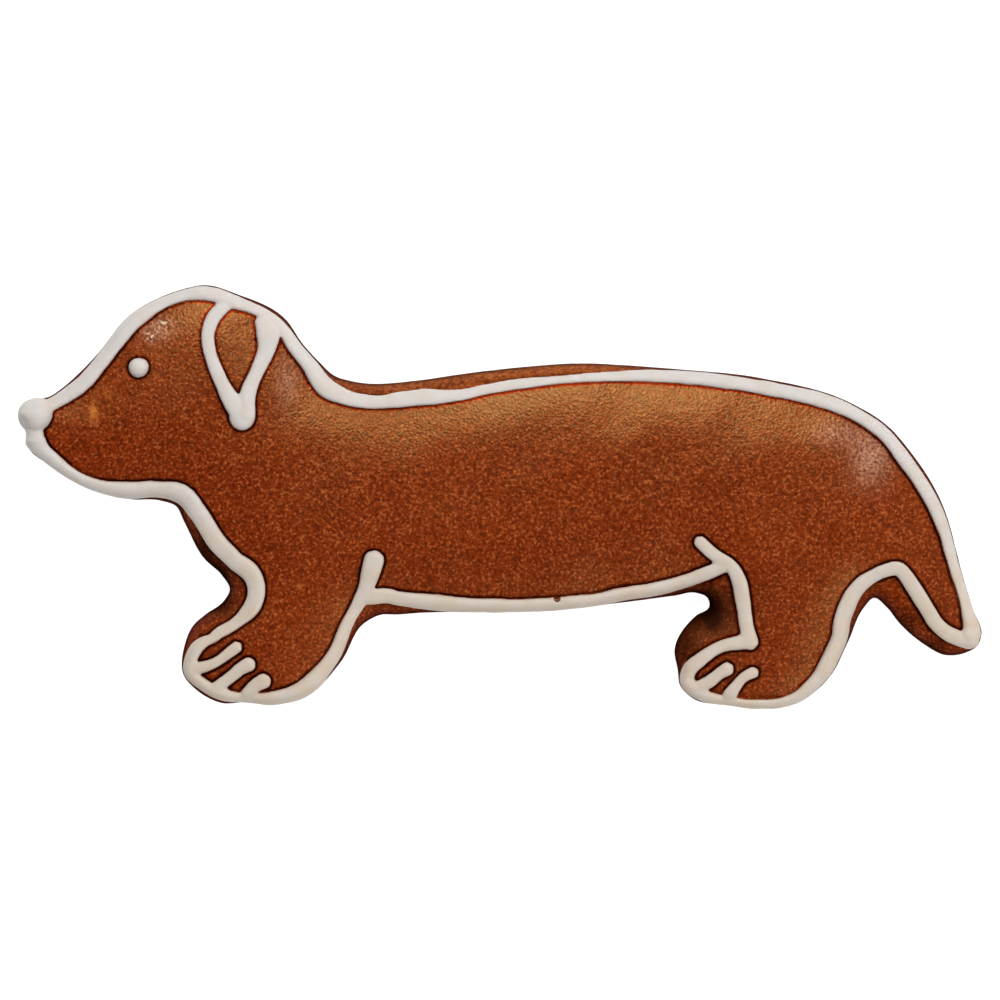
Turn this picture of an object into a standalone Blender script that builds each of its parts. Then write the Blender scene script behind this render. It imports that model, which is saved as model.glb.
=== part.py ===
"""Gingerbread cookie cut as a standing dachshund, with its piped icing lines and its icing eye.

The cookie lies flat with its iced side up: +X runs from the nose to the tail, +Y from the paws
to the back, +Z through its thickness. The origin is under the middle of its box.
"""

import bmesh
import bpy
import numpy as np
from mathutils.geometry import delaunay_2d_cdt

MM = 0.001

# The baked piece, in millimetres: the widest line of its side, the rounded shoulder, the puffed top.
SIDE_HEIGHT = 2.2
SHOULDER_RISE = 2.4
SHOULDER_RUN = 2.0
PUFF_RISE = 2.1
PUFF_RUN = 13.0
FOOT_INSET = 0.8
NARROW_SHARE = 0.75  # where the piece is narrow, its shoulder takes this share of the half width
FOOT_SHARE = 0.6  # and the foot's inset at most this share of the shoulder's run

# The slow waves of the baked top: turn per millimetre along X and Y, phase, and share of the rise.
WAVE_RISE = 0.03
WAVE_FADE = 5  # the waves are whole beyond the rise's first fifth
WAVES = ((0.43, 0.21, 0.6, 1.0), (-0.27, 0.58, 2.1, 1.0), (0.71, -0.35, 4.0, 0.7))

# The icing, in millimetres.
LINE_HEIGHT_SHARE = 0.42  # height of a piped line over its width
LINE_END_SHARE = 0.45  # a line's round end reaches this share of its width past its last point
FOOT_EDGE_SHARE = 0.15  # height of a line's or a drop's side where it meets the crust
PULL_SHARE = 0.15  # how far a line on the edge sits back against its lean, over its height
ICING_GAP = 0.32
LEAN_SHARE = 0.6  # how far a piped line leans with the slope that it lies on
MOST_DRAPE = 0.7  # how far a line's foot hangs below its middle
LEAN_REACH = 0.3  # the slope is measured between points this far to both sides
BED_ROUNDS = 8
BED_SHARE = 0.8  # of the remaining gap that each round closes
LINE_CROWN_POWER = 0.65  # below 1, a line's crown is fuller than a half circle
FOOT_POINT_SHARE = 0.4  # the two points under a line lie this share of its half width off its middle
END_RING_STEP = 0.25  # a round end has a ring this share of the width in from its tip
TIP_RING_SHARE = 0.35  # widths of the tip's ring and of the next one, over the line's width
NEXT_RING_SHARE = 0.85

# Mesh steps, in millimetres.
EDGE_STEP = 1.8
TOP_STEP = 2.5
FLOOR_STEP = 9.0
LINE_STEP = 1.7
FILL_MARGIN = 1.1  # the fill's points keep this far off the ring that they join
WELD = 1e-5  # the fill joins points that lie closer
SPAN_SAMPLES = 24
TINY = 1e-6

# The edge of the cookie, clockwise from the nose, seen from above. Each point has its X and Y,
# how far inside the edge the icing line runs, and how wide that line is.
EDGE = (
    ("muzzle", (
        (-64.8, 10.95, 1.8, 2.3), (-62.5, 13.05, 1.6, 2.4), (-60.95, 13.5, 1.15, 2.15),
        (-59.55, 14.4, 1.15, 2.35), (-58.05, 15.65, 1.35, 2.4),
    )),
    ("head", (
        (-53.85, 20.05, 1.1, 2.4), (-50.95, 23.75, 1.1, 2.6), (-43.75, 27.75, 0.9, 2.05),
        (-39.8, 28.55, 1.05, 2.4), (-35.75, 27.4, 1.1, 2.3), (-29.0, 23.9, 1.0, 1.7),
    )),
    ("nape", (
        (-26.85, 20.8, 1.05, 2.35), (-24.55, 18.25, 1.25, 2.55), (-22.4, 16.3, 1.95, 2.75),
        (-19.95, 15.55, 2.4, 2.1),
    )),
    ("back", (
        (-10.8, 15.7, 2.4, 2.3), (-6.1, 16.4, 2.8, 1.65), (0.0, 17.15, 2.4, 1.55),
        (10.1, 17.95, 2.1, 1.25), (23.0, 17.25, 1.05, 2.1), (35.1, 16.0, 1.25, 2.25),
        (47.35, 12.7, 1.1, 2.3), (52.2, 9.75, 1.2, 2.15),
    )),
    ("tail", (
        (56.25, 5.1, 1.4, 2.2), (59.35, 0.15, 1.25, 2.25), (62.65, -10.65, 0.9, 1.9),
        (64.1, -15.4, 0.95, 2.05), (65.2, -18.75, 1.55, 2.9),
    )),
    ("under the tail", (
        (64.6, -20.3, 1.6, 2.7), (63.1, -21.2, 1.65, 2.5), (60.5, -21.55, 2.45, 2.0),
        (57.15, -19.9, 3.3, 2.05), (53.95, -17.1, 4.7, 2.1), (52.4, -15.1, 4.4, 2.1),
        (50.6, -13.8, 3.45, 1.85), (49.3, -15.1, 1.8, 2.5),
    )),
    ("hind leg", (
        (47.15, -19.75, 1.35, 2.55), (44.75, -24.35, 1.2, 2.6), (41.15, -27.6, 0.85, 2.2),
        (30.35, -28.25, 0.55, 1.9), (26.45, -27.6, 0.95, 2.3), (24.35, -25.6, 0.95, 2.35),
    )),
    ("inside of the hind leg", (
        (24.05, -23.5, 1.0, 2.0), (23.6, -21.1, 1.0, 2.0), (26.5, -16.2, 1.0, 2.0),
        (28.35, -14.95, 1.0, 2.0), (28.15, -13.85, 1.0, 2.0), (26.55, -13.1, 1.0, 2.0),
        (23.65, -13.5, 1.0, 2.0),
    )),
    ("belly", (
        (13.55, -14.8, 0.8, 2.3), (7.5, -15.5, 0.85, 2.25), (0.0, -15.75, 0.85, 2.35),
        (-11.5, -15.85, 1.7, 2.25), (-13.9, -16.05, 2.27, 1.95), (-16.2, -16.1, 2.6, 2.25),
    )),
    ("inside of the front leg", ((-18.4, -17.25, 1.8, 2.0),)),
    ("front leg", (
        (-21.5, -22.4, 1.25, 2.35), (-26.55, -27.3, 0.95, 2.8), (-30.35, -28.15, 0.75, 2.45),
        (-34.4, -27.9, 0.6, 1.85), (-37.6, -28.05, 1.2, 2.1), (-40.8, -26.5, 1.2, 2.0),
        (-42.9, -24.15, 1.0, 2.15), (-42.75, -20.35, 1.65, 1.95), (-41.4, -17.35, 3.1, 1.4),
        (-39.85, -16.0, 3.2, 1.6), (-37.45, -14.25, 3.4, 1.8), (-36.6, -12.7, 3.75, 2.5),
        (-37.7, -10.7, 2.8, 2.5), (-40.0, -8.55, 2.85, 2.5),
    )),
    ("throat", (
        (-42.85, -3.3, 2.3, 2.75), (-43.85, -1.4, 1.8, 3.05), (-45.95, -0.65, 1.45, 2.6),
    )),
    ("chin", (
        (-50.0, -0.45, 1.05, 2.9), (-54.05, 0.35, 0.8, 2.3), (-61.5, 4.45, 1.0, 2.5),
        (-63.65, 6.2, 1.4, 2.95), (-64.15, 7.2, 1.4, 3.0), (-64.15, 8.35, 1.25, 2.7),
    )),
)

# Piped lines away from the edge: X, Y and width along each.
KNEE = (
    (25.6, -23.4, 2.0), (27.0, -22.1, 1.9), (29.9, -20.3, 1.6), (31.9, -19.8, 1.9), (33.6, -19.5, 2.3),
)
THIGH = (
    (33.7, -19.6, 2.3), (33.3, -17.9, 2.0), (32.7, -14.0, 2.0), (32.3, -11.6, 2.0),
    (31.5, -9.9, 1.9), (29.2, -8.2, 1.8), (27.0, -6.2, 1.7),
)
FLANK = ((29.9, -9.6, 1.8), (27.0, -10.8, 1.9), (21.6, -12.5, 2.1), (16.6, -13.3, 2.3))
BREAST = (
    (-17.0, -8.7, 2.7), (-17.5, -10.4, 2.6), (-18.0, -12.2, 2.2), (-18.9, -14.2, 1.9),
    (-20.3, -16.7, 1.8),
)
ARMPIT = ((-18.3, -13.7, 1.9),)
EAR_FRONT = (
    (-36.6, 26.2, 1.9), (-37.5, 25.4, 2.0), (-38.7, 24.0, 2.0), (-39.4, 21.7, 1.8),
    (-39.2, 19.7, 1.8), (-37.6, 15.5, 1.9), (-35.9, 12.4, 2.5), (-35.0, 10.9, 2.5),
)
EAR_BACK = (
    (-31.8, 23.3, 2.6), (-31.3, 21.8, 3.2), (-31.4, 20.2, 2.6), (-32.7, 16.9, 2.0),
    (-33.9, 14.0, 2.1), (-34.3, 11.0, 2.7),
)
TAIL_TURN = (
    (63.35, -19.6, 2.55), (61.9, -19.2, 2.1), (60.4, -18.5, 2.0), (58.7, -17.0, 2.0), (57.7, -15.4, 2.0),
    (56.7, -13.8, 2.0), (55.8, -12.3, 2.0), (54.7, -10.8, 2.0), (53.7, -9.85, 2.1), (52.1, -10.0, 1.9),
    (50.4, -10.8, 1.85), (48.8, -11.9, 2.2), (47.7, -13.15, 2.3), (46.95, -14.7, 2.4), (46.25, -16.8, 2.5),
)
TOES = (
    ((-41.6, -23.5, 1.6), (-38.4, -22.5, 1.5), (-36.4, -21.1, 1.5), (-35.5, -20.4, 1.6)),
    ((-38.4, -26.0, 1.8), (-36.2, -24.3, 1.7), (-34.7, -23.1, 1.8), (-33.9, -22.7, 1.9)),
    ((-34.2, -26.8, 1.9), (-32.9, -25.5, 1.9), (-32.0, -25.0, 2.2)),
    ((26.5, -26.0, 1.8), (28.3, -25.0, 1.8), (29.6, -24.0, 1.7), (30.6, -23.4, 1.9)),
    ((31.0, -26.8, 2.0), (31.9, -25.6, 1.6), (32.9, -24.4, 1.5), (34.1, -23.8, 1.6)),
)

# Round drops of icing: X, Y, radius and height. The last one stands alone and is the eye.
NOSE_DROP = (-62.85, 11.0, 2.5, 2.3)
EAR_DROP = (-34.75, 10.55, 1.75, 1.05)
EYE_DROP = (-48.7, 17.3, 1.36, 1.5)
DROP_SIDES = 20
DROP_PROFILE = ((0.55, 0.0), (1.0, 0.1), (0.95, 0.45), (0.72, 0.78), (0.4, 0.95))  # reach, crown

BISCUIT_COLOUR = (0.235, 0.042, 0.010, 1.0)
ICING_COLOUR = (0.72, 0.64, 0.57, 1.0)


def curve_through(points, closed):
    """Hermite curve through the points; each tangent is the mean slope of its two chords."""
    ahead = np.roll(points, -1, axis=0)
    length = np.maximum(np.linalg.norm((ahead - points)[:, :2], axis=1), TINY)[:, None]
    slope = (ahead - points) / length
    behind_length, behind_slope = np.roll(length, 1, axis=0), np.roll(slope, 1, axis=0)
    tangent = (behind_slope * length + slope * behind_length) / (length + behind_length)
    if not closed:
        tangent[0], tangent[-1] = slope[0], slope[-2]
    t = (np.arange(SPAN_SAMPLES) / SPAN_SAMPLES)[None, :, None]
    start, end = points[:, None], ahead[:, None]
    leave, arrive = tangent[:, None], np.roll(tangent, -1, axis=0)[:, None]
    span = length[:, None]
    curve = (
        (2 * t**3 - 3 * t**2 + 1) * start
        + (t**3 - 2 * t**2 + t) * span * leave
        + (3 * t**2 - 2 * t**3) * end
        + (t**3 - t**2) * span * arrive
    )
    if closed:
        return curve.reshape(-1, points.shape[1])
    return np.concatenate([curve[:-1].reshape(-1, points.shape[1]), points[-1:]])


def spaced(curve, step, closed):
    """The same curve with points at even steps along it."""
    if closed:
        curve = np.concatenate([curve, curve[:1]])
    travel = np.concatenate([[0.0], np.cumsum(np.linalg.norm(np.diff(curve[:, :2], axis=0), axis=1))])
    count = max(3, round(travel[-1] / step))
    stops = np.linspace(0.0, travel[-1], count + 1)
    even = np.stack([np.interp(stops, travel, column) for column in curve.T], axis=1)
    return even[:-1] if closed else even


def inward(curve):
    """Unit normals of a clockwise closed curve, pointing into the material."""
    along = np.roll(curve, -1, axis=0)[:, :2] - np.roll(curve, 1, axis=0)[:, :2]
    along /= np.linalg.norm(along, axis=1)[:, None]
    return np.stack([along[:, 1], -along[:, 0]], axis=1)


CONTROL = np.array([point for _, points in EDGE for point in points])
FINE_EDGE = curve_through(CONTROL, closed=True)
FINE_NORMAL = inward(FINE_EDGE)


def first_sample(name):
    names = [stretch for stretch, _ in EDGE]
    return SPAN_SAMPLES * sum(len(points) for _, points in EDGE[: names.index(name)])


def last_sample(name):
    count = len(dict(EDGE)[name])
    return first_sample(name) + SPAN_SAMPLES * (count - 1)


def shoulder_run(edge, normal):
    """The shoulder's width at each edge point: less where the widest circle that fits there is small."""
    to_others = edge[None, :, :2] - edge[:, None, :2]
    distance_2 = (to_others**2).sum(axis=2)
    depth = (to_others * normal[:, None, :]).sum(axis=2)
    radius = np.where(depth > TINY, distance_2 / (2 * np.maximum(depth, TINY)), np.inf)
    run = np.minimum(SHOULDER_RUN, NARROW_SHARE * radius.min(axis=1))
    for _ in range(3):
        run = np.minimum(run, (np.roll(run, 1) + run + np.roll(run, -1)) / 3)
    return run


def edge_distance(places):
    """How far inside the edge each place is, negative outside, and the nearest edge sample."""
    offset = places[:, None, :] - FINE_EDGE[None, :, :2]
    nearest = (offset**2).sum(axis=2).argmin(axis=1)
    signed = ((places - FINE_EDGE[nearest, :2]) * FINE_NORMAL[nearest]).sum(axis=1)
    plain = np.linalg.norm(places - FINE_EDGE[nearest, :2], axis=1)
    return np.where(signed < 0, -plain, plain), nearest


def soft_depth(places):
    """Depth inside the edge without a crease along the middle: the edge summed as 1 / distance^4."""
    ahead = np.roll(FINE_EDGE, -1, axis=0)
    weight = np.linalg.norm((ahead - FINE_EDGE)[:, :2], axis=1)
    distance_2 = ((places[:, None, :] - FINE_EDGE[None, :, :2]) ** 2).sum(axis=2)
    total = (weight / np.maximum(distance_2, TINY) ** 2).sum(axis=1)
    return (total / (np.pi / 2)) ** (-1 / 3)


def puff(places):
    """Rise of the baked top over its shoulder, with the slow unevenness of the dough."""
    share = np.minimum(soft_depth(places) / PUFF_RUN, 1.0)
    uneven = sum(
        part * np.sin(along_x * places[:, 0] + along_y * places[:, 1] + phase)
        for along_x, along_y, phase, part in WAVES
    )
    return PUFF_RISE * (1 - (1 - share) ** 2) + WAVE_RISE * uneven * np.minimum(share * WAVE_FADE, 1.0)


FINE_RUN = shoulder_run(FINE_EDGE, FINE_NORMAL)


def clearance(points):
    """Distance of each point from the biscuit's upper surface, from its ellipse-like shoulder."""
    inside, nearest = edge_distance(points[:, :2])
    run = FINE_RUN[nearest]
    rise = points[:, 2] - SIDE_HEIGHT - np.where(inside > 0, puff(points[:, :2]), 0.0)
    across = np.maximum((run - inside) / run, 0.0)
    level = np.sqrt(across**2 + (rise / SHOULDER_RISE) ** 2) + TINY
    steepness = np.sqrt((across / run) ** 2 + (rise / SHOULDER_RISE**2) ** 2) / level
    return (level - 1) / steepness


def top_height(places):
    inside, nearest = edge_distance(places)
    across = np.clip(1 - inside / FINE_RUN[nearest], 0.0, 1.0)
    return SIDE_HEIGHT + SHOULDER_RISE * np.sqrt(1 - across**2) + puff(places)


def lean(points):
    """Unit direction that a piped line stands in at each point: between upright and the slope's normal."""
    slope = np.stack(
        [
            clearance(points + LEAN_REACH * axis) - clearance(points - LEAN_REACH * axis)
            for axis in np.eye(3)
        ],
        axis=1,
    )
    slope /= np.linalg.norm(slope, axis=1)[:, None]
    slope[:, :2] *= LEAN_SHARE
    return slope / np.linalg.norm(slope, axis=1)[:, None]


def bed(base, direction):
    """Moves each base point along its direction until it lies one icing gap off the biscuit."""
    shift = np.zeros(len(base))
    for _ in range(BED_ROUNDS):
        shift += BED_SHARE * (ICING_GAP - clearance(base + shift[:, None] * direction))
        shift = np.maximum(shift, -MOST_DRAPE)
    return shift


def mesh_object(name, points, faces, colour, roughness):
    mesh = bpy.data.meshes.new(name)
    mesh.from_pydata([tuple(point) for point in points * MM], [], faces)
    mesh.update()
    made = bpy.data.objects.new(name, mesh)
    bpy.context.scene.collection.objects.link(made)
    material = bpy.data.materials.new(name)
    material.use_nodes = True
    shader = material.node_tree.nodes["Principled BSDF"]
    shader.inputs["Base Color"].default_value = colour
    shader.inputs["Roughness"].default_value = roughness
    mesh.materials.append(material)
    return made


def lattice_inside(step, margin):
    """Places on a triangular lattice that lie more than the margin inside the biscuit's edge."""
    low, high = FINE_EDGE[:, :2].min(axis=0), FINE_EDGE[:, :2].max(axis=0)
    x, y = np.meshgrid(np.arange(low[0], high[0], step), np.arange(low[1], high[1], step * np.sqrt(0.75)))
    x[1::2] += step / 2
    places = np.column_stack([x.ravel(), y.ravel()])
    inside, _ = edge_distance(places)
    return places[inside > margin]


def filled(loop, extra):
    """Triangles over a closed loop and the extra places inside it, as indices into both."""
    places = np.concatenate([loop, extra])
    count = len(loop)
    border = [(k, (k + 1) % count) for k in range(count)]
    _, _, faces, origin, _, _ = delaunay_2d_cdt(
        [tuple(place) for place in places], border, [], 1, WELD
    )
    return [[origin[corner][0] for corner in face] for face in faces]


def make_biscuit():
    """Side strip from the floor up to the shoulder's top, closed by a puffed top and a flat floor."""
    edge = spaced(FINE_EDGE, EDGE_STEP, closed=True)
    normal = inward(edge)
    _, nearest = edge_distance(edge[:, :2])
    run = FINE_RUN[nearest]
    foot = np.minimum(FOOT_INSET, run * FOOT_SHARE)
    rings = []
    for turn in np.radians((0.0, 45.0, 90.0)):
        place = edge[:, :2] + (foot * (1 - np.sin(turn)))[:, None] * normal
        rings.append(np.column_stack([place, np.full(len(place), SIDE_HEIGHT * (1 - np.cos(turn)))]))
    for turn in np.radians((32.0, 62.0, 90.0)):
        place = edge[:, :2] + (run * (1 - np.cos(turn)))[:, None] * normal
        height = SIDE_HEIGHT + SHOULDER_RISE * np.sin(turn) + puff(place)
        rings.append(np.column_stack([place, height]))
    count = len(edge)
    faces = []
    for k in range(len(rings) - 1):
        for i in range(count):
            j = (i + 1) % count
            faces.append((k * count + i, (k + 1) * count + i, (k + 1) * count + j, k * count + j))
    points = list(rings)
    caps = (
        (len(rings) - 1, TOP_STEP, SHOULDER_RUN, True),
        (0, FLOOR_STEP, FOOT_INSET, False),
    )
    for ring, step, margin, up in caps:
        extra = lattice_inside(step, margin + FILL_MARGIN)
        start = sum(len(block) for block in points)
        height = top_height(extra) if up else np.zeros(len(extra))
        points.append(np.column_stack([extra, height]))
        on_ring = list(range(ring * count, ring * count + count))
        to_point = on_ring + list(range(start, start + len(extra)))
        for face in filled(rings[ring][:, :2], extra):
            corners = [to_point[corner] for corner in face]
            faces.append(corners if up else corners[::-1])
    biscuit = mesh_object("biscuit", np.concatenate(points), faces, BISCUIT_COLOUR, 0.5)
    face_outwards(biscuit)
    return biscuit


def face_outwards(made):
    work = bmesh.new()
    work.from_mesh(made.data)
    bmesh.ops.recalc_face_normals(work, faces=work.faces)
    work.to_mesh(made.data)
    work.free()


def along_edge(first, last):
    """Centre line and width of the icing from one edge sample to another."""
    chosen = slice(first, last + 1)
    middle = FINE_EDGE[chosen, :2] + FINE_EDGE[chosen, 2:3] * FINE_NORMAL[chosen]
    return np.column_stack([middle, FINE_EDGE[chosen, 3]])[:: SPAN_SAMPLES // 3]


def piped_line(name, points):
    """A bead along the points: a half-round crown over feet that follow the biscuit."""
    line = curve_through(np.array(points, float), closed=False)
    ends = []
    for end, before in ((line[0], line[3]), (line[-1], line[-4])):
        away = (end - before)[:2] / np.linalg.norm((end - before)[:2])
        ends.append([*(end[:2] + away * LINE_END_SHARE * end[2]), end[2]])
    line = spaced(np.concatenate([ends[:1], line, ends[1:]]), LINE_STEP, closed=False)
    near_start = line[0] + (line[1] - line[0]) * END_RING_STEP * line[0, 2] / LINE_STEP
    near_end = line[-1] + (line[-2] - line[-1]) * END_RING_STEP * line[-1, 2] / LINE_STEP
    line = np.concatenate([line[:1], near_start[None], line[1:-1], near_end[None], line[-1:]])
    half = line[:, 2] / 2
    half[[0, -1]] *= TIP_RING_SHARE
    half[[1, -2]] *= NEXT_RING_SHARE
    height = LINE_HEIGHT_SHARE * 2 * half
    along = np.gradient(line[:, :2], axis=0)
    along /= np.linalg.norm(along, axis=1)[:, None]
    along = np.column_stack([along, np.zeros(len(along))])
    middle = np.column_stack([line[:, :2], top_height(line[:, :2])])
    up = lean(middle)
    middle[:, :2] -= PULL_SHARE * height[:, None] * up[:, :2]
    middle[:, 2] = top_height(middle[:, :2])
    side = np.cross(up, along)
    side /= np.linalg.norm(side, axis=1)[:, None]
    section = []
    for turn in np.radians((0.0, 36.0, 72.0, 108.0, 144.0, 180.0)):
        section.append((-np.cos(turn), np.sin(turn) ** LINE_CROWN_POWER))
    section += [(FOOT_POINT_SHARE, None), (-FOOT_POINT_SHARE, None)]
    rings = []
    for across, crown in section:
        base = middle + (across * half)[:, None] * side
        shift = bed(base, up)
        if crown is not None:
            shift = shift + height * (FOOT_EDGE_SHARE + (1 - FOOT_EDGE_SHARE) * crown)
        rings.append(base + shift[:, None] * up)
    points = np.stack(rings, axis=1)
    around = len(section)
    faces = [tuple(range(around)), tuple(range(len(line) * around - 1, (len(line) - 1) * around - 1, -1))]
    for i in range(len(line) - 1):
        for k in range(around):
            m = (k + 1) % around
            faces.append((i * around + k, (i + 1) * around + k, (i + 1) * around + m, i * around + m))
    made = mesh_object(name, points.reshape(-1, 3), faces, ICING_COLOUR, 0.5)
    face_outwards(made)
    return made


def drop(name, x, y, radius, height):
    """A round drop: a flat foot that follows the biscuit and a low crown."""
    turn = np.arange(DROP_SIDES) * 2 * np.pi / DROP_SIDES
    up = lean(np.array([[x, y, top_height(np.array([[x, y]]))[0]]]))[0]
    points = []
    for reach, crown in DROP_PROFILE:
        place = np.column_stack([x + reach * radius * np.cos(turn), y + reach * radius * np.sin(turn)])
        base = np.column_stack([place, top_height(place)])
        direction = np.tile(up, (DROP_SIDES, 1))
        points.append(base + (bed(base, direction) + crown * height)[:, None] * direction)
    middle = np.array([[x, y, top_height(np.array([[x, y]]))[0]]])
    foot = middle + (bed(middle, up[None]))[:, None] * up
    points = np.concatenate(points + [foot + height * up, foot])
    top, bottom = len(points) - 2, len(points) - 1
    last = (len(DROP_PROFILE) - 1) * DROP_SIDES
    faces = []
    for i in range(DROP_SIDES):
        j = (i + 1) % DROP_SIDES
        for ring in range(0, last, DROP_SIDES):
            faces.append((ring + i, ring + j, ring + DROP_SIDES + j, ring + DROP_SIDES + i))
        faces.append((last + i, last + j, top))
        faces.append((j, i, bottom))
    made = mesh_object(name, points, faces, ICING_COLOUR, 0.5)
    face_outwards(made)
    return made


def make_icing():
    """Every connected line and drop of icing, joined by one union."""
    over_the_back = along_edge(first_sample("muzzle"), last_sample("tail"))
    hind_leg = along_edge(first_sample("hind leg"), last_sample("hind leg"))
    belly = along_edge(first_sample("belly"), last_sample("belly"))
    leg_to_chin = along_edge(first_sample("front leg"), last_sample("chin"))
    lines = [
        piped_line("icing", over_the_back),
        piped_line("hind leg line", np.concatenate([TAIL_TURN, hind_leg, KNEE])),
        piped_line("thigh line", THIGH),
        piped_line("belly line", np.concatenate([FLANK, belly, ARMPIT])),
        piped_line("front line", np.concatenate([BREAST, leg_to_chin])),
        piped_line("ear front line", EAR_FRONT),
        piped_line("ear back line", EAR_BACK),
        drop("nose drop", *NOSE_DROP),
        drop("ear drop", *EAR_DROP),
    ]
    lines += [piped_line(f"toe line {k}", toe) for k, toe in enumerate(TOES)]
    group = bpy.data.collections.new("icing lines")
    bpy.context.scene.collection.children.link(group)
    for line in lines[1:]:
        bpy.context.scene.collection.objects.unlink(line)
        group.objects.link(line)
    union = lines[0].modifiers.new("join", "BOOLEAN")
    union.operation = "UNION"
    union.operand_type = "COLLECTION"
    union.collection = group
    union.solver = "EXACT"
    graph = bpy.context.evaluated_depsgraph_get()
    joined = bpy.data.meshes.new_from_object(lines[0].evaluated_get(graph))
    lines[0].modifiers.clear()
    lines[0].data = joined
    for line in lines[1:]:
        bpy.data.objects.remove(line, do_unlink=True)
    bpy.data.collections.remove(group)
    return lines[0]


def centre_on_origin(objects):
    """Moves every mesh so that the middle of the underside of their common box is the origin."""
    corners = np.concatenate([[vertex.co[:] for vertex in made.data.vertices] for made in objects])
    low, high = corners.min(axis=0), corners.max(axis=0)
    shift = np.array([(low[0] + high[0]) / 2, (low[1] + high[1]) / 2, low[2]])
    for made in objects:
        for vertex in made.data.vertices:
            vertex.co = vertex.co[:] - shift
        made.data.update()


def main():
    for old in list(bpy.data.objects):
        bpy.data.objects.remove(old, do_unlink=True)
    biscuit = make_biscuit()
    icing = make_icing()
    eye = drop("icing_eye", *EYE_DROP)
    centre_on_origin([biscuit, icing, eye])
    for made in (biscuit, icing, eye):
        made.data.shade_smooth()


main()
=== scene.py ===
import bpy
import numpy as np
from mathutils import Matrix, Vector
from mathutils.geometry import delaunay_2d_cdt


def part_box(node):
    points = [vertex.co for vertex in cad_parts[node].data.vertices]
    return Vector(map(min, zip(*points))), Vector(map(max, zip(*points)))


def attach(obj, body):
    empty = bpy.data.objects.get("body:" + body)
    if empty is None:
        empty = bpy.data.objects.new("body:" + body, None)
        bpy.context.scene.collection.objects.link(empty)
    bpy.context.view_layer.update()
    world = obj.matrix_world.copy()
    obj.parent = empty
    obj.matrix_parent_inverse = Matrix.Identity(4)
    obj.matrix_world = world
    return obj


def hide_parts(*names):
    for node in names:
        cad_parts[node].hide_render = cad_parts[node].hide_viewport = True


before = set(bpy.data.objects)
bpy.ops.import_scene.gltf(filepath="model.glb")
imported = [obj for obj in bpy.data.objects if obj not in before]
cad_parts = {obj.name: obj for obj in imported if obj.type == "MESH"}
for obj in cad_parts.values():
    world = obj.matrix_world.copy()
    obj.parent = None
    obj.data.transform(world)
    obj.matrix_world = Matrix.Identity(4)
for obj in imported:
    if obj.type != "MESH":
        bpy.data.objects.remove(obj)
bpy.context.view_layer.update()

mm = 0.001
tiny = 1e-6  # keeps divisions by lengths off zero
tinier = 1e-12  # and finer ones
spanSamples = 24  # samples from one point that a curve runs through to the next
pathSamples = 3  # so many of them are kept in an icing line along the edge
rowShare = 0.866  # rows of a triangular lattice stand this share of its step apart
placesAtOnce = 2500  # places compared with the whole edge at a time, which spares memory

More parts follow.
